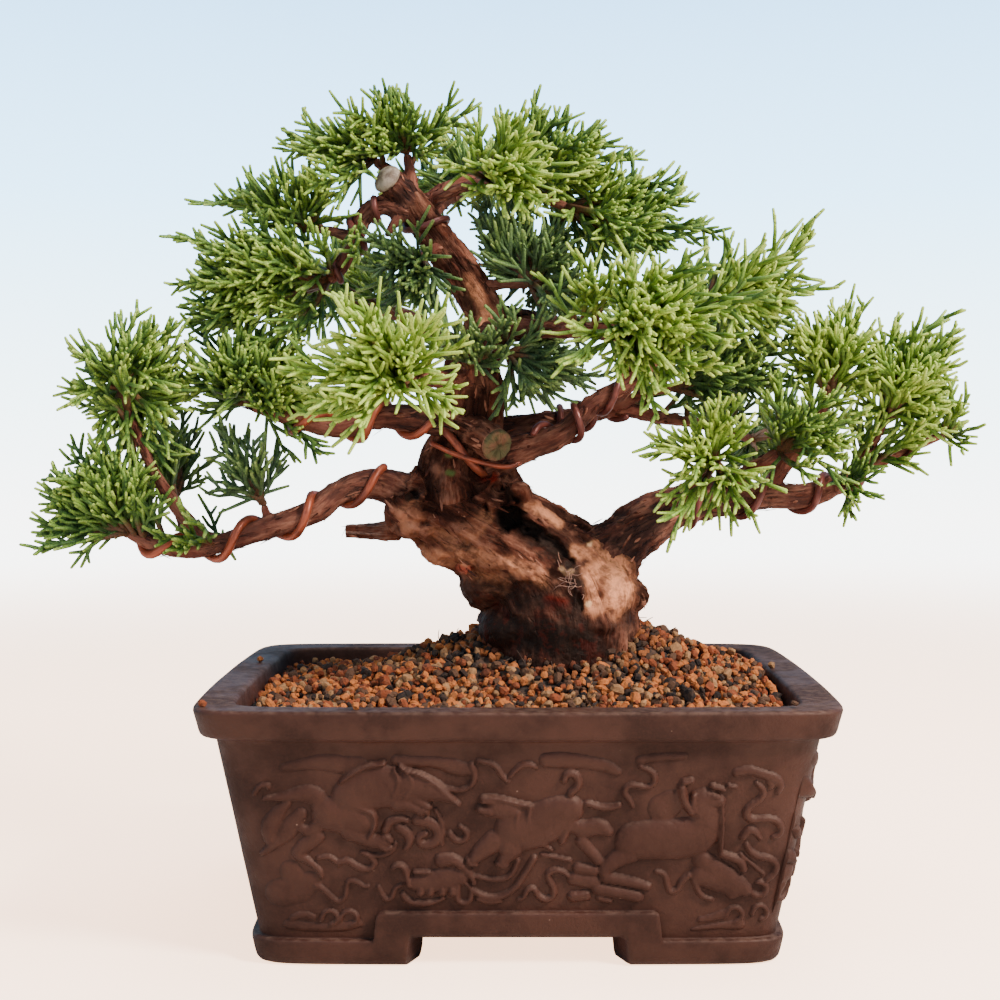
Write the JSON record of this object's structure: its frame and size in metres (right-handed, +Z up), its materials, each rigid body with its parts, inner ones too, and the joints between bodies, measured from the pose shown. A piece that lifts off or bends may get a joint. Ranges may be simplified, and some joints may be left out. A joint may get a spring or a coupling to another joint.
{
  "type": "bonsai tree in a pot",
  "caption": "Juniper bonsai with a leaning trunk, wired branches and needle sprays, in a rectangular footed ceramic pot filled with soil.",
  "frame": {"origin": "on the surface that the pot stands on, under the middle of the tree and pot", "axes": "+X to the long low branch on the right, +Y to the back, +Z up"},
  "size_m": [0.2667, 0.1585, 0.2364],
  "materials": {
    "ceramic": "unglazed, matt to satin",
    "soil": "matt granules",
    "screen": "matt",
    "wire": "copper-coloured, satin",
    "bark": "rough bark",
    "paste": "matt",
    "foliage": "living scale leaves, satin"
  },
  "bodies": {
    "root": {"pot": "ceramic", "soil": "soil", "drain_screen_left": "screen", "drain_screen_right": "screen", "wire_left_lower": "wire", "wire_middle_left": "wire", "wire_upper_trunk": "wire", "wire_right_lower": "wire", "wire_middle_right": "wire", "wire_back_right": "wire", "wire_upper_left": "wire", "wire_apex": "wire", "wood": "bark", "cut_paste": "paste", "foliage_left_tip": "foliage", "foliage_left_stem": "foliage", "foliage_left_inner": "foliage", "foliage_left_upright": "foliage", "foliage_middle_left": "foliage", "foliage_front_left": "foliage", "foliage_inner_front": "foliage", "foliage_upper_left_tip": "foliage", "foliage_upper_left": "foliage", "foliage_inner_left": "foliage", "foliage_apex_left": "foliage", "foliage_apex_middle": "foliage", "foliage_apex_right": "foliage", "foliage_apex_front": "foliage", "foliage_apex_far_right": "foliage", "foliage_apex_back": "foliage", "foliage_inner_right": "foliage", "foliage_hanging": "foliage", "foliage_front_right": "foliage", "foliage_right_top": "foliage", "foliage_right_middle": "foliage", "foliage_low_front": "foliage", "foliage_low_middle": "foliage", "foliage_low_upper": "foliage", "foliage_low_right": "foliage", "foliage_right_tip": "foliage", "foliage_low_under": "foliage", "foliage_back_left": "foliage", "foliage_back_right": "foliage", "foliage_back_low": "foliage"}
  },
  "joints": []
}
